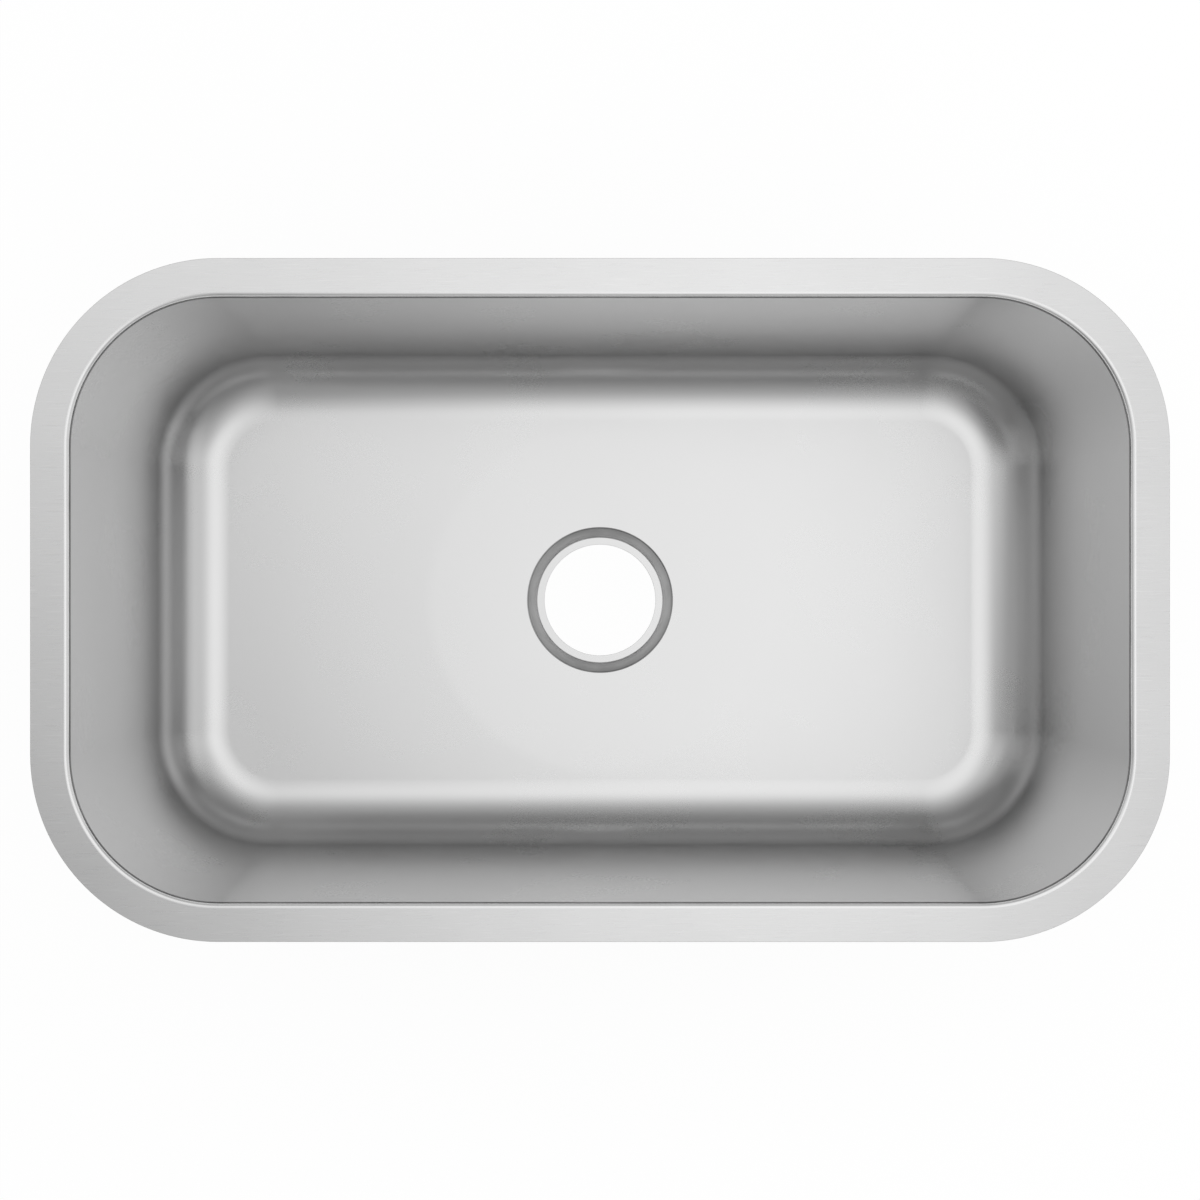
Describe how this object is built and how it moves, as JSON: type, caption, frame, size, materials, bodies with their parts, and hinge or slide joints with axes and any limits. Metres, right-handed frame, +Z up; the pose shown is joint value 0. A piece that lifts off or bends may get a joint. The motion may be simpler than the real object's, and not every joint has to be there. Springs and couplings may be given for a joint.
{
  "type": "undermount kitchen sink",
  "caption": "Single-bowl undermount kitchen sink: a deep-drawn stainless bowl with a flat flange, a cove all round and a stepped drain recess, coated and padded underneath.",
  "frame": {"origin": "middle of the bowl's opening, in the plane of the flange's top, which presses on the underside of the countertop", "axes": "+X along the sink's length, +Y towards its back, +Z up"},
  "size_m": [0.762, 0.4572, 0.2388],
  "materials": {
    "steel": "satin, with fine straight brush lines on the flange and a finer even satin in the bowl",
    "coat": "sprayed matt coat with a fine pebbled surface",
    "pad_rubber": "matt black moulded rubber"
  },
  "bodies": {
    "root": {"bowl": "steel", "undercoat": "coat", "floor_pad_left": "pad_rubber", "floor_pad_right": "pad_rubber", "front_pad_left": "pad_rubber", "front_pad_right": "pad_rubber", "back_pad_left": "pad_rubber", "back_pad_right": "pad_rubber", "end_pad_left": "pad_rubber", "end_pad_right": "pad_rubber"}
  },
  "joints": []
}
